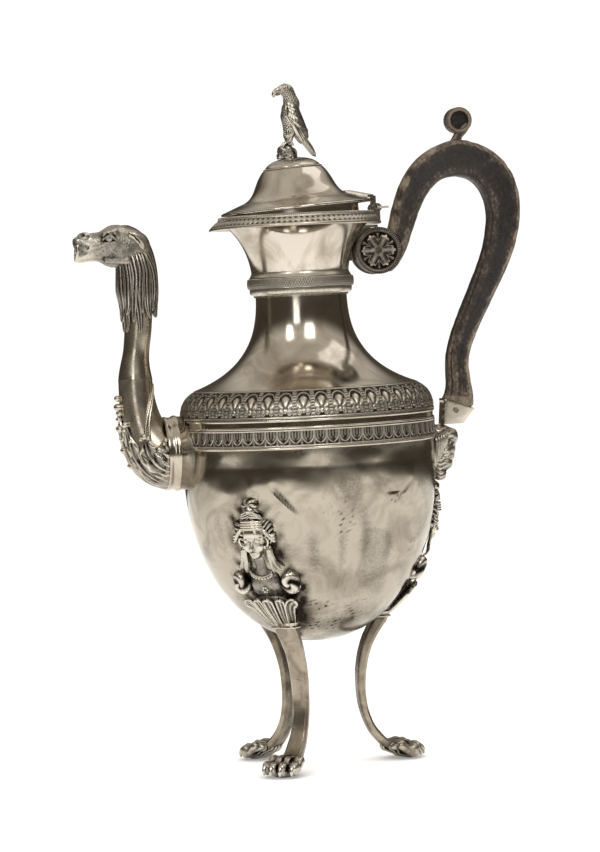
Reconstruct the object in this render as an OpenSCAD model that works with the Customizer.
// Silver coffee pot on three cast legs, with a horse-head spout, a hinged lid with a bird finial
// and a carved wooden handle. Millimetres, +Z up. The origin is on the floor under the pot's axis.
// The handle points along +X and the spout along -X.

/* [Bowl] */
// Radius of the pot at its widest, between the ornament bands
body_r = 61; // [56:0.5:66]
// Height of the bowl's lowest point above the floor
bowl_bottom_z = 60.6; // [56:0.5:64]
// Height of the bowl's upper edge, where the ornamented shoulder stands on it
bowl_top_z = 171; // [168:0.5:176]
// Thickness of the raised silver sheet
wall = 1; // [0.8:0.1:1.4]
// Radius of each strainer hole behind the spout
strainer_hole_r = 1.4; // [0.8:0.1:1.8]

/* [Ornament bands] */
// Height of the flat lower ornament band
lower_band_h = 8; // [6:0.5:10]
// Plain strip between the lower band and the shoulder
plain_strip_h = 5; // [4:0.5:7]
// How far the lower band stands out from the bowl
band_relief = 0.9; // [0.6:0.1:1.4]
// Height of the bulging upper ornament band
upper_band_h = 13.5; // [11:0.5:16]
// Radius at the top of the upper band, where the neck's cone begins
shoulder_r = 54; // [51:0.5:56]
// Radius of the round wires that border the bands
wire_r = 0.7; // [0.5:0.05:0.9]

/* [Neck] */
// Radius of the neck at its narrowest
neck_r = 22.1; // [20:0.1:24]
// Height of the cone from the upper band to the moulded collar
cone_h = 43.5; // [40:0.5:47]
// Radius of the moulded collar
collar_r = 26.2; // [25:0.1:28]
// Height of the moulded collar
collar_h = 12; // [9:0.5:14]
// Height of the flared neck from the collar to the rim
flare_h = 22; // [19:0.5:25]

/* [Rim and beak] */
// Inner radius of the mouth
mouth_r = 30.4; // [29:0.1:32]
// Outer radius of the sloping rim
rim_r = 40.6; // [39:0.1:43]
// Height of the rim
rim_h = 5.6; // [4.5:0.1:7]
// How far the pouring beak reaches past the rim
beak_reach = 3.2; // [1:0.1:5]

/* [Lid] */
// Radius of the lid's flange
lid_r = 36.9; // [35.5:0.1:37.5]
// Height of the lid from its flange to the domed cap
bell_h = 19.5; // [17:0.5:22]
// Radius of the domed cap
cap_r = 14.4; // [12:0.1:16]
// Height of the domed cap
cap_h = 5.4; // [4:0.1:7]
// Gap between the lid's bezel and the mouth
bezel_gap = 0.6; // [0.5:0.05:0.8]
// Depth of the bezel below the lid's flange
bezel_h = 5; // [3:0.5:6]
// Gap between the closed lid and the rim, where it comes nearest
lid_gap = 0.3; // [0.1:0.05:0.4]
// Angle at which the lid lies, raised on the hinge side by its tall knuckles
lid_tilt = 3.4; // [2.5:0.1:4]
// Height of the bird above the domed cap
bird_h = 37; // [33:0.5:40]

/* [Hinge] */
// Radius of the hinge pin
pin_r = 0.8; // [0.6:0.05:0.9]
// Running clearance round the hinge pin
pin_gap = 0.05; // [0.02:0.01:0.09]
// Outer radius of the hinge knuckles
knuckle_r = 2.1; // [1.8:0.05:2.4]
// Width of the lid's knuckle
knuckle_w = 4.8; // [4:0.1:6]
// Gap between neighbouring knuckles
knuckle_gap = 0.25; // [0.15:0.05:0.4]
// Distance of the pin's axis outside the lid's flange
hinge_out = 1.6; // [1.4:0.1:2]

/* [Spout] */
// Height of the spout's centre where it leaves the bowl
spout_z = 155.3; // [154:0.1:157]
// Radius of the round collar between the spout and the bowl
spout_collar_r = 18.3; // [17:0.1:19]
// Length of that collar
spout_collar_len = 8.5; // [7:0.5:10]
// Distance from the bowl to the middle of the upright tube
spout_reach = 22; // [20:0.5:24]
// Height of the elbow from the spout's centre to its upright end
elbow_h = 36.7; // [34:0.1:40]
// Radius of the tube at its lower end
tube_low_r = 8.2; // [7.5:0.1:9]
// Radius of the tube at its upper end
tube_top_r = 6.8; // [6.2:0.1:7.5]
// Length of the upright tube between the elbow and the horse's neck
tube_h = 34; // [30:0.5:38]
// Reach of the horse's head in front of the tube
head_len = 31.5; // [29:0.5:34]

/* [Handle] */
// Radius of the silver rosette discs on the upper scroll
rosette_r = 11.4; // [10.5:0.1:12]
// Thickness of the wood between the rosettes
scroll_t = 11; // [9:0.5:13]
// Thickness of the wooden grip
grip_t = 13; // [11.5:0.5:15]
// Width of the grip at its crown
grip_w = 17; // [15:0.5:19]
// Distance of the grip's outer curve from the pot's axis, to the middle of the wood
grip_reach = 102.2; // [99:0.5:105]
// Height of the middle of the crown above the floor
crown_z = 290.5; // [286:0.5:294]
// Radius of the thumb scroll
thumb_r = 6.3; // [5.5:0.1:7]
// Radius of the rivets through both ends of the handle
rivet_r = 1.3; // [1:0.1:1.6]

/* [Legs] */
// Angle of the front and back legs from the one under the handle
leg_spread = 129; // [122:1:134]
// Distance of the toe tips from the pot's axis
toe_r = 50.5; // [48:0.5:54]
// Width of a leg across its flat front
leg_w = 9.6; // [8.5:0.1:11]
// Thickness of a leg at its slimmest
leg_t = 3.7; // [3.2:0.1:4.5]
// Width of a paw
paw_w = 21; // [19:0.5:23]
// Height of a paw's knuckles
paw_h = 10; // [9:0.1:11]

/* [Hidden] */
$fn = 96;

silver = "#b9b2a2";
dark_silver = "#8e887a";
dark_wood = "#3b3229";

tiny = 0.01;
solder_gap = 0.05;  // hair gap between two curved pieces that are soldered together
mesh_fn = 8;        // facets round the small cast forms

// Heights of the stacked pieces of the body
plain_strip_z = bowl_top_z - plain_strip_h;
lower_band_z = plain_strip_z - lower_band_h;
cone_z = bowl_top_z + upper_band_h;
collar_z = cone_z + cone_h;
flare_z = collar_z + collar_h;
rim_z = flare_z + flare_h;
seat_z = rim_z + rim_h;

// ---- curves -------------------------------------------------------------------------------

// Point at t on the cubic curve with the four control points p
function on_curve(p, t) =
  pow(1 - t, 3) * p[0] + 3 * t * pow(1 - t, 2) * p[1] + 3 * t * t * (1 - t) * p[2] + pow(t, 3) * p[3];

// n + 1 points along that curve
function curve(p, n) = [for (i = [0:n]) on_curve(p, i / n)];

// Several curves end to end, without repeating the points where they meet
function joined(curves, n) = [
  for (k = [0:len(curves) - 1]) for (i = [k == 0 ? 0 : 1:n]) on_curve(curves[k], i / n)
];

function unit(v) = v / norm(v);

// Direction of a list of points at place i
function heading(pts, i) = unit(pts[min(i + 1, len(pts) - 1)] - pts[max(i - 1, 0)]);

// Value at t (0 to 1) of a list of evenly spaced values, smoothly eased between neighbours
function eased(values, t) =
  let (
    span = len(values) - 1,
    k = min(floor(t * span), span - 1),
    f = t * span - k,
    s = f * f * (3 - 2 * f)
  )
  values[k] + (values[k + 1] - values[k]) * s;

function reversed(list) = [for (i = [len(list) - 1:-1:0]) list[i]];

// Points set w inside an outline of radius and height that runs upwards, its ends kept level
function inside(pts, w) = [
  for (i = [0:len(pts) - 1])
    let (d = heading(pts, i), out = [d[1], -d[0]])
    (i == 0 || i == len(pts) - 1) && pts[i][0] > w && abs(out[0]) > 0.3
      ? [pts[i][0] - w / abs(out[0]), pts[i][1]]
      : (pts[i][0] <= w ? [0, pts[i][1] + w] : pts[i] - w * out)
];

// A wall of even thickness turned round the pot's axis from its outer outline
module turned_wall(pts, w) {
  rotate_extrude() polygon(concat(pts, reversed(inside(pts, w))));
}

// ---- skins --------------------------------------------------------------------------------

// Triangles between ring j and the next one, each ring having n points, starting at index base
function skin(base, n, j, flip) = [
  for (i = [0:n - 1])
    let (
      a = base + j * n + i,
      b = base + j * n + (i + 1) % n,
      c = base + (j + 1) * n + (i + 1) % n,
      d = base + (j + 1) * n + i
    )
    for (t = flip ? [[a, b, c], [a, c, d]] : [[a, c, b], [a, d, c]]) t
];

// A closed solid through rings of points that run anticlockwise about the direction of travel
module lofted(rings) {
  n = len(rings[0]);
  m = len(rings);
  polyhedron(
    points = [for (r = rings) for (p = r) p],
    faces = concat(
      [for (i = [1:n - 2]) [0, i, i + 1]],
      [for (j = [0:m - 2]) for (t = skin(0, n, j, false)) t],
      [for (i = [1:n - 2]) [(m - 1) * n, (m - 1) * n + i + 1, (m - 1) * n + i]]
    ),
    convexity = 8
  );
}

// A pipe with open ends, through matching outer and inner rings
module pipe(outer, inner) {
  n = len(outer[0]);
  m = len(outer);
  q = n * m;
  last = (m - 1) * n;
  polyhedron(
    points = [for (r = concat(outer, inner)) for (p = r) p],
    faces = concat(
      [for (j = [0:m - 2]) for (t = skin(0, n, j, false)) t],
      [for (j = [0:m - 2]) for (t = skin(q, n, j, true)) t],
      [for (i = [0:n - 1]) for (t = [[i, (i + 1) % n, q + (i + 1) % n], [i, q + (i + 1) % n, q + i]]) t],
      [for (i = [0:n - 1]) let (a = last + i, b = last + (i + 1) % n)
        for (t = [[a, q + b, b], [a, q + a, q + b]]) t]
    ),
    convexity = 8
  );
}

// Round ring in the plane across direction d (in XZ), half-size a in that plane and b along Y
function round_ring(c, d, a, b, n) = [
  for (i = [0:n - 1])
    let (w = 360 * i / n, across = [d[1], -d[0]])
    [c[0] + across[0] * a * cos(w), b * sin(w), c[1] + across[1] * a * cos(w)]
];

// Rings of a bent round pipe or rod along a curve in XZ, with a radius for each of its points
function round_rings(control, radii, n) =
  let (last = len(radii) - 1, pts = curve(control, last))
  [for (i = [0:last])
    let (d = i == 0 ? unit(control[1] - control[0])
           : i == last ? unit(control[3] - control[2])
           : heading(pts, i))
    round_ring(pts[i], d, radii[i], radii[i], n)];

// Egg-shaped mass at p with three half-sizes, which its outermost corners reach
module egg(p, s) {
  translate(p) scale(s / cos(180 / mesh_fn)) sphere(r = 1, $fn = mesh_fn);
}

// Smooth mass from one egg to the next
module limb(p, s, q, t) {
  hull() {
    egg(p, s);
    egg(q, t);
  }
}

// The same on both sides of the XZ plane
module both_sides() {
  children();
  mirror([0, 1, 0]) children();
}

// ---- body ---------------------------------------------------------------------------------

bowl_wide_z = lower_band_z - 10;      // the wall is upright from here to the bowl's edge
bowl_curve = [
  [0, bowl_bottom_z],
  [0.59 * body_r, bowl_bottom_z],
  [body_r + 1.8, bowl_bottom_z + 39.4],
  [body_r, bowl_wide_z]
];
bowl_outline = concat(curve(bowl_curve, 22), [[body_r, bowl_top_z]]);

// Radius of the bowl's outside at height z, found by halving along the curve
function bowl_t(z, lo, hi, n) =
  let (mid = (lo + hi) / 2)
  n == 0 ? mid : (on_curve(bowl_curve, mid)[1] > z ? bowl_t(z, lo, mid, n - 1) : bowl_t(z, mid, hi, n - 1));
function bowl_r(z) = z >= bowl_wide_z ? body_r : on_curve(bowl_curve, bowl_t(z, 0, 1, 14))[0];

// Solid inside the bowl's outer surface, swollen by the solder gap, for cutting what sits on it
module bowl_space() {
  swollen = [for (p = bowl_outline) [p[0] == 0 ? 0 : p[0] + solder_gap, p[1] - solder_gap]];
  rotate_extrude($fn = 120)
    polygon(concat(swollen, [[body_r + solder_gap, cone_z], [0, cone_z]]));
}

module spout_bore(r, from_x) {
  translate([from_x, 0, spout_z]) rotate([0, -90, 0]) cylinder(r = r, h = body_r);
}

module bowl() {
  pitch = 2 * strainer_hole_r + 1.6;
  color(silver) difference() {
    turned_wall(bowl_outline, wall);
    for (row = [-2:2]) for (k = [0:4 - abs(row)])
      translate([0, (k - (4 - abs(row)) / 2) * pitch, row * pitch * sin(60)])
        spout_bore(strainer_hole_r, -body_r / 2);
  }
}

// Room for the lion's mask, which reaches up over the lower band
module mask_notch() {
  w = mask_w + 2 * solder_gap;
  low_z = lower_band_z - 10;
  translate([body_r - 6, -w / 2, low_z]) cube([12, w, socket_low[1] + solder_gap - low_z]);
}

module lower_band() {
  color(dark_silver) difference() {
    translate([0, 0, lower_band_z]) difference() {
      cylinder(r = body_r + band_relief, h = lower_band_h);
      translate([0, 0, -1]) cylinder(r = body_r + tiny, h = lower_band_h + 2);
    }
    spout_bore(spout_collar_r, -body_r / 2);
    mask_notch();
  }
}

upper_band_curve = [
  [body_r + 0.8, bowl_top_z],
  [body_r + 0.8, bowl_top_z + upper_band_h * 0.5],
  [shoulder_r + 4.5, cone_z - 2],
  [shoulder_r, cone_z]
];

module upper_band() {
  color(dark_silver) difference() {
    turned_wall(curve(upper_band_curve, 9), wall);
    spout_bore(spout_collar_r, -body_r / 2);
  }
}

// A round wire laid in the corner against a wall of radius r at height z
module wire(r, z) {
  translate([0, 0, z]) rotate_extrude() intersection() {
    translate([r, 0]) circle(r = wire_r);
    translate([r, -wire_r]) square([wire_r, 2 * wire_r]);
  }
}

module band_wires() {
  color(silver) difference() {
    union() {
      wire(body_r, lower_band_z - wire_r);
      wire(body_r, plain_strip_z + wire_r);
      wire(body_r, bowl_top_z - wire_r);
    }
    spout_bore(spout_collar_r, -body_r / 2);
    mask_notch();
  }
}

cone_curve = [
  [shoulder_r - 0.4, cone_z],
  [shoulder_r - 24, cone_z + 8.5],
  [neck_r, cone_z + 0.54 * cone_h],
  [neck_r, collar_z]
];

module neck_cone() {
  color(silver) turned_wall(curve(cone_curve, 16), wall);
}

module neck_collar() {
  bead_z = collar_z + collar_h * 0.35;
  bead_h = collar_h * 0.4;
  color(dark_silver) rotate_extrude() polygon(concat(
    [[neck_r - wall, collar_z], [neck_r + 0.8, collar_z]],
    curve([[neck_r + 0.8, collar_z + 0.8], [collar_r - 1.6, collar_z + 0.8],
           [collar_r - 1.4, collar_z + 2], [collar_r - 1.4, bead_z]], 4),
    curve([[collar_r - 0.5, bead_z], [collar_r, bead_z + 0.2],
           [collar_r, bead_z + bead_h - 0.2], [collar_r - 0.5, bead_z + bead_h]], 4),
    curve([[collar_r - 1.4, bead_z + bead_h], [collar_r - 1.6, bead_z + bead_h + 1],
           [neck_r + 1.6, flare_z - 1.4], [neck_r + 1.5, flare_z]], 4),
    [[neck_r + 1.5 - wall, flare_z]]
  ));
}

flare_curve = [
  [neck_r + 1.5, flare_z],
  [neck_r + 2.5, flare_z + 0.4 * flare_h],
  [mouth_r - 1.9, flare_z + 0.77 * flare_h],
  [mouth_r + 3.6, rim_z]
];
flare_outline = curve(flare_curve, 12);

module neck_flare() {
  color(silver) turned_wall(flare_outline, wall);
}

// Outline of the rim's section: flat underside, sloping ornamented outside, beaded inner edge
rim_section = [
  [mouth_r, rim_z],
  [mouth_r + 3.8, rim_z],
  [rim_r - 0.5, rim_z - 0.8],
  [rim_r, rim_z],
  [rim_r - 0.3, rim_z + 0.6],
  [lid_r + 0.6, seat_z - 1.2],
  [lid_r - 0.8, seat_z],
  [mouth_r, seat_z]
];

module mouth_rim() {
  color(silver) union() {
    rotate_extrude() polygon(rim_section);
    hull() {
      translate([-rim_r - beak_reach + 0.6, 0, rim_z - 0.5]) sphere(r = 0.6, $fn = mesh_fn);
      for (side = [-1, 1])
        rotate([0, 0, side * 16]) translate([-rim_r + 1.2, 0, rim_z - 0.1]) sphere(r = 0.7, $fn = mesh_fn);
      translate([-lid_r - 1.6, 0, seat_z - 3.2]) sphere(r = 0.6, $fn = mesh_fn);
    }
  }
}

// ---- spout --------------------------------------------------------------------------------

elbow_x = -body_r - spout_collar_len;
tube_x = -body_r - spout_reach;
elbow_top_z = spout_z + elbow_h;
tube_top_z = elbow_top_z + tube_h;
tube_top_x = tube_x + 3.3;
elbow_r = spout_collar_r - 0.9;
elbow_curve = [
  [elbow_x, spout_z],
  [tube_x - 0.5, spout_z],
  [tube_x, spout_z + 0.5 * elbow_h],
  [tube_x, elbow_top_z]
];
tube_curve = [
  [tube_x, elbow_top_z],
  [tube_x, elbow_top_z + 0.35 * tube_h],
  [tube_top_x, elbow_top_z + 0.65 * tube_h],
  [tube_top_x, tube_top_z]
];
elbow_steps = 10;
tube_steps = 7;
pipe_sides = 20;

function elbow_radius(t) = tube_low_r + (elbow_r - tube_low_r) * pow(1 - t, 1.4);
function tube_radius(t) = eased([tube_low_r, tube_top_r - 0.5, tube_top_r - 0.3, tube_top_r], t);

elbow_radii = [for (i = [0:elbow_steps]) elbow_radius(i / elbow_steps)];
tube_radii = [for (i = [0:tube_steps]) tube_radius(i / tube_steps)];

module bent_pipe(control, radii) {
  pipe(
    round_rings(control, radii, pipe_sides),
    round_rings(control, [for (r = radii) r - wall], pipe_sides)
  );
}

module spout_collar() {
  color(silver) difference() {
    translate([-body_r + 4, 0, spout_z]) rotate([0, -90, 0]) rotate_extrude() polygon([
      [elbow_r - wall, 0],
      [spout_collar_r, 0],
      [spout_collar_r, spout_collar_len + 2.6],
      [spout_collar_r - 0.6, spout_collar_len + 4],
      [elbow_r - wall, spout_collar_len + 4]
    ]);
    cylinder(r = body_r, h = cone_z);
  }
}

module spout_elbow() {
  color(silver) bent_pipe(elbow_curve, elbow_radii);
}

module spout_tube() {
  color(silver) bent_pipe(tube_curve, tube_radii);
}

// A solid the shape of the elbow, a little swollen, for cutting the leaves that lie on it
module elbow_space() {
  lofted(round_rings(elbow_curve, [for (r = elbow_radii) r + solder_gap], pipe_sides));
}

// One pointed leaf on the elbow: from place t0 to t1 along its curve, at angle w round it
module elbow_leaf(t0, t1, w, lift) {
  steps = 3;
  for (k = [0:steps - 1]) hull() for (j = [0, 1]) {
    f = (k + j) / steps;
    t = t0 + (t1 - t0) * f;
    c = on_curve(elbow_curve, t);
    d = unit(on_curve(elbow_curve, min(t + 0.02, 1)) - on_curve(elbow_curve, max(t - 0.02, 0)));
    across = [d[1], -d[0]];
    r = elbow_radius(t) + 0.3 + lift * f;
    half = 3.4 * sin(25 + 150 * f) + 0.5;
    egg([c[0] - across[0] * r * cos(w), r * sin(w), c[1] - across[1] * r * cos(w)], [half, half, 1.2]);
  }
}

module spout_leaves() {
  color(dark_silver) difference() {
    union() {
      elbow_leaf(0.12, 0.92, 0, 2.2);
      both_sides() {
        elbow_leaf(0.10, 0.74, 34, 1);
        elbow_leaf(0.05, 0.42, 66, 0.8);
      }
    }
    elbow_space();
    translate([elbow_x - solder_gap, -40, spout_z - 40]) cube([30, 80, 80]);
    translate([tube_x - 30, -30, elbow_top_z]) cube([60, 60, 30]);
  }
}

// Horse's head, looking along -X. Its mouth is the pouring hole.
poll = [tube_top_x + 1.5, tube_top_z + 28];     // top of the neck, behind the ears
muzzle = [tube_top_x - head_len + 3, tube_top_z + 30];
mouth_bore_r = 3;

module horse_head() {
  neck_z = tube_top_z;
  nx = tube_top_x;
  along = muzzle - poll;
  function at(f, up) = [poll[0] + along[0] * f, 0, poll[1] + along[1] * f + up];
  color(silver) difference() {
    union() {
      // neck, swelling towards the throat
      hull() {
        translate([nx, 0, neck_z]) cylinder(r = tube_top_r, h = tiny, $fn = pipe_sides);
        egg([nx - 0.3, 0, neck_z + 9], [7.6, 6.6, 4]);
      }
      limb([nx - 0.3, 0, neck_z + 9], [7.6, 6.6, 4], [nx + 0.2, 0, neck_z + 20], [8, 6, 5]);
      limb([nx + 0.2, 0, neck_z + 20], [8, 6, 5], at(0.08, 0.6), [7.2, 5.6, 7.4]);
      // cheek, forehead, bridge and muzzle
      limb(at(0.08, 0.6), [7.2, 5.6, 7.4], at(0.3, 0.7), [6.8, 6.3, 9.2]);
      limb(at(0.3, 0.7), [6.8, 6.3, 9.2], at(0.62, 0.4), [4.5, 5, 7]);
      limb(at(0.62, 0.4), [4.5, 5, 7], at(0.9, 0.6), [4, 4.8, 6.4]);
      limb(at(0.9, 1.6), [4, 4.8, 5.2], at(1.02, 1.2), [3.2, 4.2, 4.8]);
      limb(at(0.75, -3), [3.5, 3.8, 3.6], at(0.97, -4.2), [3, 3.4, 2.6]);
      // brow, nostril and ear on each side
      both_sides() {
        limb(at(0.36, 6.2) + [0, 3.8, 0], [2.6, 1.6, 1.6], at(0.5, 4.6) + [0, 4.4, 0], [1.6, 1.2, 1.2]);
        egg(at(0.94, 4.8) + [0, 3, 0], [2.4, 1.7, 1.8]);
        limb(at(0.12, 6) + [0, 4.2, 0], [2.4, 1.4, 1.8], at(-0.14, 0.5) + [0, 5.6, 0], [1.2, 0.8, 1.8]);
      }
    }
    // pouring bore up the neck and out through the mouth
    translate([nx, 0, neck_z - 1]) cylinder(r = tube_top_r - wall - 0.4, h = 24, $fn = pipe_sides);
    hull() {
      translate([nx, 0, neck_z + 22]) sphere(r = 5, $fn = pipe_sides);
      translate(at(0.3, -2)) sphere(r = 4.2, $fn = pipe_sides);
    }
    translate(at(0.3, -2))
      rotate([0, -90, 0]) cylinder(r = mouth_bore_r, h = head_len, $fn = pipe_sides);
    translate([nx - 20, -20, neck_z - 10]) cube([40, 40, 10]);
  }
}

// Mane: a crest down the back of the neck
module horse_mane() {
  nx = tube_top_x;
  z0 = tube_top_z - 1;
  back = [
    [nx + 8.2, z0 + 1], [nx + 9.6, z0 + 9], [nx + 9.4, z0 + 19], [nx + 7.4, z0 + 29], [nx + 3, z0 + 37]
  ];
  color(dark_silver) difference() {
    for (k = [0:len(back) - 2]) hull() for (j = [k, k + 1])
      egg([back[j][0], 0, back[j][1]], [1.6, 2.4, 1.8]);
    mane_seat();
  }
}

// The neck and poll that the mane lies on
module mane_seat() {
  nx = tube_top_x;
  z = tube_top_z;
  g = solder_gap;
  limb([nx, 0, z - 6], [tube_top_r + g, tube_top_r + g, 3], [nx - 0.3, 0, z + 9], [7.6 + g, 6.6 + g, 4]);
  limb([nx - 0.3, 0, z + 9], [7.6 + g, 6.6 + g, 4], [nx + 0.2, 0, z + 20], [8 + g, 6 + g, 5]);
  limb([nx + 0.2, 0, z + 20], [8 + g, 6 + g, 5], [poll[0], 0, poll[1] + 0.6], [7.2 + g, 5.6 + g, 7.4 + g]);
  limb([poll[0], 0, poll[1] + 0.6], [7.2 + g, 5.6 + g, 7.4 + g],
       [poll[0] - 8, 0, poll[1] + 1], [6.8 + g, 6.3 + g, 9.2 + g]);
}

// ---- handle -------------------------------------------------------------------------------

scroll = [mouth_r + 7.6, rim_z - 13.8];               // middle of the upper scroll
crown = [grip_reach - 22, crown_z];
socket_top = [body_r + 14.2, bowl_top_z + 0.9];       // middle of the joint between wood and socket
joint_lean = 20;                                      // lean of that joint, in degrees
joint_dir = [cos(joint_lean), -sin(joint_lean)];
down_dir = [-sin(joint_lean), -cos(joint_lean)];
waist = [socket_top[0] + 1.3, socket_top[1] + 24];
flank = [grip_reach - 0.7, crown_z - 35.5];
grip_curves = [
  [scroll + [4, -7], scroll + [15.5, 0.8], [crown[0] - 30, crown_z], crown],
  [crown, [grip_reach - 6, crown_z], [grip_reach + 4, crown_z - 14.5], flank],
  [flank, flank + [-3.5, -19], waist + [3.7, 17], waist],
  [waist, waist + [-1.6, -7.4], socket_top - 7 * down_dir, socket_top]
];
grip_path = joined(grip_curves, 10);

function grip_half_w(t) = eased([4.2, 5.9, grip_w * 0.43, grip_w / 2, grip_w * 0.51, grip_w * 0.45,
                                 6.4, 5.4, 5.2, 5.6, 7.9], t);

// Section of the grip: flat sides, a broad crisp bevel outside and a smaller one inside
function grip_ring(c, d, a, b) =
  let (out = [-d[1], d[0]], bo = min(3.4, a * 0.55), bi = min(2.2, a * 0.4))
  [for (p = [[a, -b + bo], [a - bo * 0.7, -b], [-a + bi, -b], [-a, -b + bi],
             [-a, b - bi], [-a + bi, b], [a - bo * 0.7, b], [a, b - bo]])
    [c[0] + out[0] * p[0], p[1], c[1] + out[1] * p[0]]];

thumb = crown + [1.8, grip_w / 2 + 10.8];
thumb_t = 8.8;                                        // thickness of the thumb scroll
stem = [3.6, 5];                                      // width and thickness of its stem
stem_x = crown[0] + 1.2;
stem_z = crown[1] + grip_w / 2 + 2;

module grip() {
  last = len(grip_path) - 1;
  socket_in = grip_t / 2 - 1.8;
  color(dark_wood) difference() {
    union() {
      lofted([for (i = [0:last])
        grip_ring(grip_path[i],
                  i == last ? down_dir : heading(grip_path, i),
                  grip_half_w(i / last),
                  grip_t / 2)]);
      // round core of the upper scroll
      translate([scroll[0], 0, scroll[1]])
        rotate([90, 0, 0]) cylinder(r = rosette_r - 0.8, h = scroll_t, center = true);
      // stem and thumb scroll on the crown
      hull() {
        translate([stem_x - 0.6, 0, stem_z - 3.4]) cube([3.6 * stem[0], stem[1], 1], center = true);
        translate([stem_x, 0, stem_z]) cube([stem[0], stem[1], 1], center = true);
      }
      hull() {
        translate([stem_x, 0, stem_z]) cube([stem[0], stem[1], 1], center = true);
        translate([thumb[0] + 1, 0, thumb[1] - thumb_r + 1.6])
          cube([1.5 * stem[0], stem[1], 1], center = true);
      }
      translate([thumb[0], thumb_t / 2, thumb[1]]) rotate([90, 0, 0]) cylinder(r = thumb_r, h = thumb_t);
    }
    // pockets for the rosettes
    for (side = [-1, 1])
      translate([scroll[0], side * (scroll_t / 2 + 5), scroll[1]])
        rotate([90, 0, 0]) cylinder(r = rosette_r + solder_gap, h = 10, center = true);
    // hollows in the thumb scroll
    for (side = [-1, 1])
      translate([thumb[0], side * thumb_t / 2, thumb[1]])
        rotate([90, 0, 0]) cylinder(r = thumb_r * 0.66, h = 4, center = true);
    // slot for the bracket's tongue, and the rivet's hole
    translate([scroll[0] - 16, 0, scroll[1]])
      cube([40, tongue_t + 2 * solder_gap, tongue_h + 0.4], center = true);
    translate([scroll[0], 0, scroll[1]]) rotate([90, 0, 0]) cylinder(r = rivet_r, h = 60, center = true);
  }
}

rosette_t = 2.4;

// A silver disc with a raised rim and a domed middle, lying on the wood's side
module rosette(side) {
  color(silver) translate([scroll[0], side * scroll_t / 2, scroll[1]])
    rotate([side * -90, 0, 0]) difference() {
    rotate_extrude() polygon([
      [0, 0], [rosette_r, 0], [rosette_r, rosette_t * 0.8], [rosette_r - 0.5, rosette_t],
      [rosette_r - 1.6, rosette_t], [rosette_r - 2.1, rosette_t * 0.6], [rosette_r * 0.45, rosette_t * 0.75],
      [rosette_r * 0.3, rosette_t * 1.15], [0, rosette_t * 1.3]
    ]);
    translate([0, 0, -1]) cylinder(r = rivet_r, h = 8);
  }
}

tongue_t = 2.6;   // the bracket's tongue, thickness and height
tongue_h = 8.6;

module scroll_rivet() {
  len = scroll_t + 2 * rosette_t * 1.3 + 0.6;
  color(silver) translate([scroll[0], len / 2, scroll[1]]) rotate([90, 0, 0]) cylinder(r = rivet_r, h = len);
}

// Solid inside the outer surface of the flared neck, for cutting the bracket to fit it
module neck_space() {
  rotate_extrude() polygon(concat([[0, flare_z]], flare_outline, [[0, rim_z]]));
}

module neck_bracket() {
  color(silver) difference() {
    union() {
      // tongue in the wood's slot
      translate([scroll[0] - 9, 0, scroll[1]]) cube([24, tongue_t, tongue_h], center = true);
      // leaf under the rim, resting on the scroll
      difference() {
        union() {
          translate([mouth_r + 0.5, 0, rim_z - 6]) cube([9, 9, 5], center = true);
          translate([mouth_r + 2, 0, rim_z - 3.2]) cube([13, 7, 4], center = true);
        }
        translate([scroll[0], 0, scroll[1]])
          rotate([90, 0, 0]) cylinder(r = rosette_r + 0.2, h = 40, center = true);
      }
    }
    neck_space();
    translate([scroll[0], 0, scroll[1]]) rotate([90, 0, 0]) cylinder(r = rivet_r, h = 60, center = true);
  }
}

// Tapered silver socket on the wood's lower end
socket_len = 10.4;
socket_half = 8.4;       // half-width at its mouth
socket_low_half = 5.6;   // and at its foot
socket_t = grip_t - 1;
socket_low = socket_top + socket_len * down_dir;

module grip_socket() {
  a = socket_top - socket_half * joint_dir;
  b = socket_top + socket_half * joint_dir;
  c = [socket_low[0] + socket_low_half, socket_low[1]];
  d = [socket_low[0] - socket_low_half, socket_low[1]];
  color(silver) difference() {
    translate([0, socket_t / 2, 0]) rotate([90, 0, 0]) linear_extrude(socket_t) polygon([a, b, c, d]);
    translate([socket_rivet_at[0], 0, socket_rivet_at[1]])
      rotate([90, 0, 0]) cylinder(r = rivet_r, h = 40, center = true);
  }
}

socket_rivet_at = socket_top + 3.6 * down_dir - [1, 0];

module socket_rivet() {
  len = socket_t + 1.2;
  color(silver) translate([socket_rivet_at[0], len / 2, socket_rivet_at[1]])
    rotate([90, 0, 0]) cylinder(r = rivet_r, h = len);
}

// Cast lion's mask that carries the socket and is soldered to the bowl
mask_w = 13;

module mask_bracket() {
  x = body_r;
  top = socket_low[1];
  color(dark_silver) difference() {
    union() {
      limb([x + 4, 0, top - 1], [5, mask_w / 2, 3], [socket_low[0], 0, top - 2], [6.2, 5.8, 3.4]);
      limb([x + 3, 0, top - 5], [5, mask_w / 2, 5], [x + 11.5, 0, top - 10], [3.4, 5.2, 4]);
      limb([x + 11, 0, top - 10], [3, 4.8, 3.6], [x + 8, 0, top - 20], [2.6, 3.6, 3]);
      limb([x + 2, 0, top - 12], [4, mask_w / 2 - 0.4, 6], [x + 3.4, 0, top - 24], [3.4, 4.4, 3.6]);
      limb([x + 8, 0, top - 20], [2.6, 3.6, 3], [x + 3.4, 0, top - 24], [3.4, 4.4, 3.6]);
      both_sides() {
        limb([x + 12, 2.4, top - 7.6], [2, 1.8, 1.5], [x + 9.5, 4.6, top - 8.6], [1.8, 1.4, 1.4]);
        limb([x + 5, 5, top - 4], [2.4, 1.6, 2.8], [x + 5.6, 5.4, top - 10], [2, 1.4, 2.4]);
      }
    }
    bowl_space();
    translate([x - 20, -20, top]) cube([60, 40, 20]);
  }
}

// ---- legs ---------------------------------------------------------------------------------

leg_turns = [["front", -leg_spread], ["back", leg_spread], ["handle", 0]];
function leg_turn(name) = [for (l = leg_turns) if (l[0] == name) l[1]][0];

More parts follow.
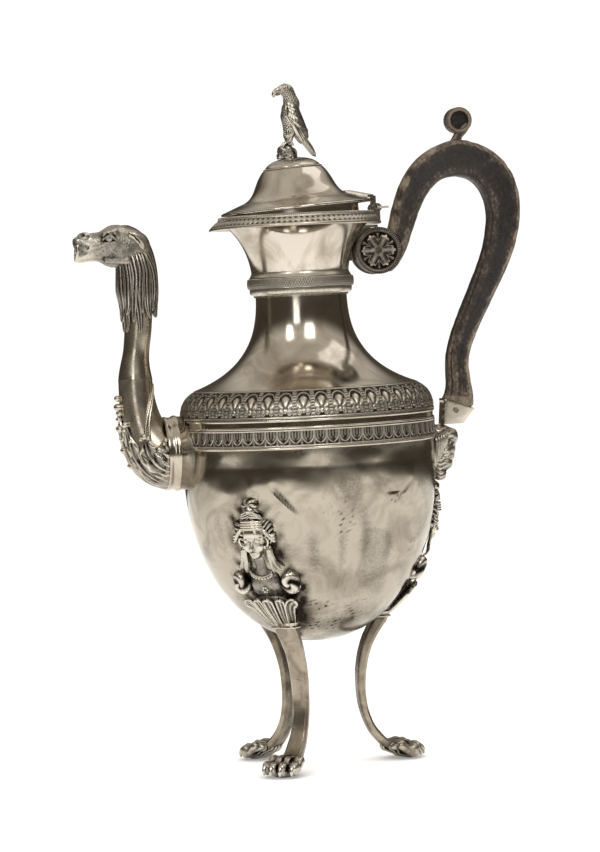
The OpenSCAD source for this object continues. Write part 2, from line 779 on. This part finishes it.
leg_top_z = 70;                       // top of a leg, under its leaf cup
leg_top_r = bowl_r(leg_top_z) + 2.8;
paw_back_r = toe_r - 20;
ankle_z = paw_h * 0.66;               // middle of the leg where it runs into the paw
leg_curves = [
  [[leg_top_r, leg_top_z], [leg_top_r - 8, leg_top_z - 10], [20, 50], [20, 36]],
  [[20, 36], [20, 24], [paw_back_r - 7, ankle_z + 6.4], [paw_back_r + 3, ankle_z]]
];
leg_path = joined(leg_curves, 9);

// Section of a leg: flat front, bevelled sides
function leg_ring(c, d, half_t, half_w) =
  let (out = [-d[1], d[0]])
  [for (p = [[1, 0.6], [0.35, 1], [-1, 0.7], [-1, -0.7], [0.35, -1], [1, -0.6]])
    [c[0] - out[0] * p[0] * half_t, p[1] * half_w, c[1] - out[1] * p[0] * half_t]];

module leg(name) {
  last = len(leg_path) - 1;
  color(silver) rotate([0, 0, leg_turn(name)]) difference() {
    lofted([for (i = [0:last]) leg_ring(
      leg_path[i],
      i == 0 ? [0, -1] : heading(leg_path, i),
      eased([leg_t * 0.75, leg_t * 0.62, leg_t * 0.52, leg_t * 0.5, leg_t * 0.6], i / last),
      eased([leg_w * 0.6, leg_w * 0.5, leg_w * 0.46, leg_w * 0.46, leg_w * 0.56], i / last)
    )]);
    bowl_space();
    translate([paw_back_r + 1, -20, -1]) cube([40, 40, paw_h + 20]);
  }
}

// Lion's paw: a raised heel, four knuckled toes and a flat sole under the pad
module paw(name) {
  toe_pitch = paw_w / 4.4;
  color(silver) rotate([0, 0, leg_turn(name)]) difference() {
    union() {
      limb([paw_back_r + 1, 0, ankle_z], [3, leg_w * 0.56, paw_h * 0.27],
           [toe_r - 13, 0, paw_h * 0.57], [4.6, paw_w * 0.4, paw_h * 0.43]);
      limb([toe_r - 13, 0, paw_h * 0.42], [3.4, paw_w * 0.34, paw_h * 0.5],
           [toe_r - 7, 0, paw_h * 0.36], [4.6, paw_w * 0.4, paw_h * 0.46]);
      for (k = [-1.5, -0.5, 0.5, 1.5]) {
        reach = abs(k) > 1 ? 2.4 : 0;
        side = k * toe_pitch;
        limb([toe_r - 12.4 - reach, side * 0.86, paw_h * 0.6], [3.2, 2.5, paw_h * 0.4],
             [toe_r - 6.4 - reach, side, paw_h * 0.48], [3.2, 2.6, paw_h * 0.42]);
        limb([toe_r - 6.4 - reach, side, paw_h * 0.46], [3.2, 2.6, paw_h * 0.42],
             [toe_r - 3.1 - reach, side * 1.04, paw_h * 0.28], [3.1, 2.3, paw_h * 0.31]);
      }
    }
    translate([0, -50, -20]) cube([100, 100, 20]);
    translate([paw_back_r - 19, -20, -1]) cube([20, 40, paw_h + 20]);
  }
}

// Point at height z on the bowl's wall, set out from it and to one side
function on_bowl(z, out, side) = [bowl_r(z) + out, side, z];

// Cup of five leaves under the bust, above a flat moulding
cup_low_z = leg_top_z;
cup_top_z = 88;

module leaf_cup(name) {
  plate_h = 3;                        // the flat moulding, which reaches out over the leg's top
  plate_r = leg_top_r + 4.6;
  color(silver) rotate([0, 0, leg_turn(name)]) difference() {
    union() {
      hull() {
        translate([plate_r - 16, -5.6, cup_low_z]) cube([16, 11.2, plate_h]);
        translate([plate_r - 18, -6.8, cup_low_z]) cube([16, 13.6, plate_h]);
      }
      limb(on_bowl(cup_low_z + 4, -0.6, 0), [5, 5.4, 2], on_bowl(cup_top_z - 2.6, -2.4, 0), [5.4, 12, 2.6]);
      for (k = [-2:2])
        limb(on_bowl(cup_low_z + 4, 3.4 - 0.3 * abs(k), k * 2.2), [1.6, 1.5, 2],
             on_bowl(cup_top_z - 2, 2 - 0.8 * k * k, k * 5.4), [2, 2.6, 2]);
    }
    bowl_space();
    translate([0, -50, cup_low_z - 20]) cube([100, 100, 20]);
    translate([0, -50, cup_top_z]) cube([100, 100, 30]);
  }
}

// Applied bust of a woman, head and shoulders in low relief: she looks out and down as the wall leans
bust_top_z = 134.5;

module bust(name) {
  z0 = cup_top_z;
  top = bust_top_z;
  chin_z = z0 + 19;
  band_z = z0 + 33;                  // middle of the headband
  color(silver) rotate([0, 0, leg_turn(name)]) difference() {
    union() {
      // chest, with a puffed sleeve at each shoulder and a lock of hair on it
      limb(on_bowl(z0 + 1, -2, 0), [4.6, 12, 3], on_bowl(z0 + 9, -2, 0), [4.6, 13, 3.4]);
      both_sides() {
        limb(on_bowl(z0 + 4, -3, 13), [5.4, 4.8, 4.4], on_bowl(z0 + 8, -3.6, 14), [5.2, 4.4, 4]);
        limb(on_bowl(z0 + 24, -2.6, 9), [4, 2.4, 3], on_bowl(z0 + 12, -2.2, 10.4), [3.8, 2.8, 2.8]);
      }
      // neck and face
      limb(on_bowl(z0 + 9, -2, 0), [5, 5.2, 3], on_bowl(chin_z + 1, -1.8, 0), [4.6, 4.4, 3]);
      limb(on_bowl(chin_z + 2.4, 0.6, 0), [4.2, 2.8, 2.4], on_bowl(chin_z + 8.6, -0.2, 0), [5.4, 5.6, 4.8]);
      // hair beside the face, headband, cone of hair and topknot
      limb(on_bowl(chin_z + 7, -2.8, 0), [4.6, 11, 4], on_bowl(band_z - 1, -1.6, 0), [4.8, 11.4, 3.4]);
      limb(on_bowl(band_z - 1.6, 0, 0), [5.2, 9.6, 1.9], on_bowl(band_z + 1.6, -0.2, 0), [5, 9.4, 1.7]);
      limb(on_bowl(band_z + 2, -0.4, 0), [5.2, 9, 2.2], on_bowl(top - 6, -0.8, 0), [4.4, 5.2, 2.4]);
      limb(on_bowl(top - 5.8, -0.4, 0), [3.6, 4.8, 2.4], on_bowl(top - 2.6, -0.4, 0), [3.2, 4.9, 2.6]);
    }
    bowl_space();
    translate([0, -50, z0 - 30]) cube([100, 100, 30]);
  }
}

// ---- hinge --------------------------------------------------------------------------------

lid_lift = lid_r * sin(lid_tilt);
hinge_x = lid_r + hinge_out;
hinge_z = seat_z + 1.4;
rim_knuckle_w = 4;
knuckle_y = knuckle_w / 2 + knuckle_gap;        // inner face of a rim knuckle
pin_half = knuckle_y + rim_knuckle_w + 0.9;     // the pin stands out at both ends
pin_tail = 5.4;                                 // length of its bent end

module along_hinge(y) {
  translate([hinge_x, y, hinge_z]) rotate([-90, 0, 0]) children();
}

module rim_knuckles() {
  color(dark_silver) for (side = [-1, 1]) difference() {
    union() {
      along_hinge(side < 0 ? -knuckle_y - rim_knuckle_w : knuckle_y)
        cylinder(r = knuckle_r, h = rim_knuckle_w);
      translate([hinge_x - 1.2, side > 0 ? knuckle_y : -knuckle_y - rim_knuckle_w, rim_z + 1])
        cube([2.4, rim_knuckle_w, hinge_z - rim_z - 1]);
    }
    along_hinge(-20) cylinder(r = pin_r + pin_gap, h = 40);
    rotate_extrude()
      polygon(concat([[0, rim_z - 5]], [for (p = rim_section) if (p[0] > mouth_r) p], [[0, seat_z]]));
  }
}

module hinge_pin() {
  color(dark_silver) union() {
    along_hinge(-pin_half) cylinder(r = pin_r, h = 2 * pin_half);
    // bent tail that keeps the pin from sliding out
    translate([hinge_x, -pin_half, hinge_z]) sphere(r = pin_r);
    translate([hinge_x, -pin_half, hinge_z]) rotate([0, 90, 0]) cylinder(r = pin_r * 0.7, h = pin_tail);
  }
}

// Carries its children from the lid's own frame, flange down at z = 0, to the closed lid's place
module on_lid() {
  translate([0, 0, seat_z + lid_lift + lid_gap]) rotate([0, -lid_tilt, 0]) children();
}

flange_in_r = lid_r - 10.9;
flange_rise = 4.8;
lid_outline = concat(
  [[lid_r - 0.2, 0], [lid_r, 0.5], [lid_r - 0.3, 1]],
  curve([[flange_in_r, flange_rise], [flange_in_r - 7, flange_rise + 2.7],
         [cap_r + 5.6, bell_h - 6], [cap_r, bell_h]], 10)
);
lid_hollow = concat(
  [[lid_r - 4, 0]],
  [for (p = inside([for (i = [2:len(lid_outline) - 1]) lid_outline[i]], wall)) if (p[0] < lid_r - 5) p]
);

module lid_bell() {
  color(silver) on_lid() difference() {
    rotate_extrude() polygon(concat(lid_outline, reversed(lid_hollow)));
    along_lid_hinge(knuckle_r + 0.3, knuckle_w + 2);
  }
}

// Room round the hinge, in the lid's own frame
module along_lid_hinge(r, w) {
  rotate([0, lid_tilt, 0]) translate([0, 0, -seat_z - lid_lift - lid_gap])
    along_hinge(-w / 2) cylinder(r = r, h = w);
}

module lid_hinge_leaf() {
  leaf_t = 1;
  leaf_w = [12, 6];    // width over the flange and at its inner end
  leaf_rise = 1.6;     // underside of the leaf above the flange's foot, at the lid's edge
  arm_h = seat_z + 2 * lid_lift + lid_gap + leaf_rise + leaf_t - hinge_z;
  color(dark_silver) difference() {
    union() {
      along_hinge(-knuckle_w / 2) cylinder(r = knuckle_r, h = knuckle_w);
      // arm from the knuckle up to the leaf
      translate([hinge_x - hinge_out, -knuckle_w / 2, hinge_z]) cube([hinge_out + 0.3, knuckle_w, arm_h]);
      // leaf over the flange
      on_lid() hull() {
        translate([lid_r - 1.2, 0, leaf_rise + leaf_t]) cube([3, leaf_w[0], leaf_t], center = true);
        translate([flange_in_r - 1, 0, flange_rise + 1.2]) cube([2, leaf_w[1], leaf_t], center = true);
      }
    }
    along_hinge(-20) cylinder(r = pin_r + pin_gap, h = 40);
    on_lid() rotate_extrude() polygon(concat([[0, -20], [lid_r + solder_gap, -20]],
      [for (p = lid_outline) p + [solder_gap, solder_gap]], [[0, bell_h]]));
  }
}

// ---- lid ----------------------------------------------------------------------------------

// Upright ring inside the lid, from below the flange up to the bell's inner surface
module lid_bezel() {
  r = mouth_r - bezel_gap;
  reach = bezel_h + flange_rise + 3;
  color(dark_silver) on_lid() difference() {
    translate([0, 0, -bezel_h]) cylinder(r = r, h = reach);
    translate([0, 0, -bezel_h - 1]) cylinder(r = r - wall, h = reach + 2);
    rotate_extrude() polygon(concat(
      [for (p = lid_hollow) p - [0, solder_gap]],
      [[cap_r - wall, bell_h + 20], [lid_r, bell_h + 20], [lid_r, -solder_gap]]
    ));
  }
}

cap_outline = concat(
  [[cap_r - 0.9, bell_h], [cap_r - 0.9, bell_h + 0.8]],
  curve([[cap_r - 1.2, bell_h + 1.1], [cap_r - 3, bell_h + cap_h * 0.75],
         [cap_r * 0.45, bell_h + cap_h], [0, bell_h + cap_h]], 8)
);
stud_r = 1.5;
nut_r = 3.4;
nut_h = 2.4;

module lid_cap() {
  color(silver) on_lid() difference() {
    rotate_extrude() polygon(concat(cap_outline,
      [[0, bell_h + cap_h - wall], [cap_r * 0.4, bell_h + cap_h - wall],
       [cap_r - 4.4, bell_h + wall], [cap_r - 4.4, bell_h]]));
    translate([0, 0, bell_h - 2]) cylinder(r = stud_r, h = cap_h + 4);
  }
}

module cap_wire() {
  color(dark_silver) on_lid() translate([0, 0, bell_h]) rotate_extrude() polygon(
    curve([[cap_r - 0.9 + tiny, 0], [cap_r + 0.3, 0], [cap_r + 0.3, 0.9], [cap_r - 0.9 + tiny, 0.9]], 6));
}

rock_z = bell_h + cap_h;
rock_h = 6.4;

module finial_rock() {
  color(dark_silver) on_lid() difference() {
    union() {
      limb([-1.6, 0, rock_z], [6.4, 5, 2.2], [-2.4, 0, rock_z + rock_h - 3], [4.6, 3.8, 3]);
      both_sides() {
        limb([-4, 2.4, rock_z + 1], [2.6, 2.2, 2], [-3.4, 2, rock_z + rock_h - 2.6], [2.2, 1.8, 2]);
        limb([2, 2.2, rock_z + 0.6], [2.6, 2.4, 1.6], [0, 1.8, rock_z + rock_h - 4], [2, 1.8, 2]);
        limb([-6, 1, rock_z + 0.6], [2, 1.6, 1.4], [-5, 1, rock_z + 3.6], [1.6, 1.4, 1.6]);
        limb([-1.6, 3.2, rock_z + 0.8], [2, 1.8, 1.4], [-1.4, 2.6, rock_z + 3.4], [1.8, 1.4, 1.4]);
      }
    }
    rotate_extrude() polygon(concat([[0, 0], [cap_r, 0]], [for (p = cap_outline) p + [0, solder_gap]]));
    translate([0, 0, rock_z + rock_h]) cylinder(r = 20, h = 10);
    translate([0, 0, 0]) cylinder(r = stud_r, h = rock_z + rock_h - 2);
  }
}

bird_z = rock_z + rock_h;

// Standing bird that looks along -X: legs, body, folded wings, tail, neck, head and hooked beak
module finial_bird() {
  s = (bird_h - rock_h) / 31;
  color(dark_silver) on_lid() difference() {
    translate([0, 0, bird_z]) scale([s, s, s]) union() {
      both_sides() {
        limb([-0.6, 1.7, 0.4], [2, 1.3, 1], [0.6, 1.8, 6], [1.9, 1.6, 2]);
        limb([2.2, 3.2, 15.4], [3.4, 1.7, 4.6], [7.2, 2.6, 4], [2.2, 1.1, 3.4]);
        limb([7.2, 2.6, 4], [2.2, 1.1, 3.4], [9.4, 1.4, -1], [1.2, 0.8, 2]);
        egg([-4.6, 1.1, 25.2], [1, 0.6, 0.8]);
      }
      limb([0.6, 0, 6.2], [3.8, 3.4, 4], [1.6, 0, 13.6], [5.2, 4.3, 5.6]);
      limb([1.6, 0, 13.6], [5.2, 4.3, 5.6], [2.6, 0, 20], [3.9, 3.4, 3.6]);
      limb([2.6, 0, 20], [3.9, 3.4, 3.6], [1.2, 0, 26.2], [3.7, 3, 3.4]);
      limb([-0.6, 0, 27], [3.4, 2.8, 3], [-4.4, 0, 25.4], [1.6, 1.2, 1.3]);
      limb([-4.4, 0, 25.4], [1.6, 1.2, 1.3], [-6, 0, 23.9], [0.7, 0.6, 0.9]);
      limb([5, 0, 8], [2.6, 2.6, 4], [9.6, 0, -0.6], [1.5, 2.2, 2.4]);
      limb([9.6, 0, -0.6], [1.5, 2.2, 2.4], [11, 0, -5], [1.2, 2, 1.4]);
    }
    translate([-4, 0, bird_z - 10]) cube([11, 20, 20], center = true);
    rotate_extrude() polygon(concat([[0, 0], [cap_r, 0]], [for (p = cap_outline) p + [0.3, 0.3]]));
  }
}

// Threaded stud from the rock, with a nut under the cap
module finial_nut() {
  color(silver) on_lid() union() {
    translate([0, 0, bell_h - 1.4]) cylinder(r = stud_r, h = rock_z + rock_h - 2 - bell_h + 1.4);
    translate([0, 0, bell_h + cap_h - wall - nut_h]) cylinder(r = nut_r, h = nut_h - tiny, $fn = 6);
  }
}

// ---- parts --------------------------------------------------------------------------------

bowl();
lower_band();
upper_band();
band_wires();
neck_cone();
neck_collar();
neck_flare();
mouth_rim();
spout_collar();
spout_elbow();
spout_leaves();
spout_tube();
horse_head();
horse_mane();
grip();
rosette(-1);  // front_rosette
rosette(1);  // back_rosette
scroll_rivet();
neck_bracket();
grip_socket();
socket_rivet();
mask_bracket();
leg("front");  // front_leg
leg("back");  // back_leg
leg("handle");  // handle_leg
paw("front");  // front_paw
paw("back");  // back_paw
paw("handle");  // handle_paw
leaf_cup("front");  // front_leaf_cup
leaf_cup("back");  // back_leaf_cup
leaf_cup("handle");  // handle_leaf_cup
bust("front");  // front_bust
bust("back");  // back_bust
bust("handle");  // handle_bust
rim_knuckles();
hinge_pin();
lid_hinge_leaf();
lid_bell();
lid_bezel();
lid_cap();
cap_wire();
finial_rock();
finial_bird();
finial_nut();
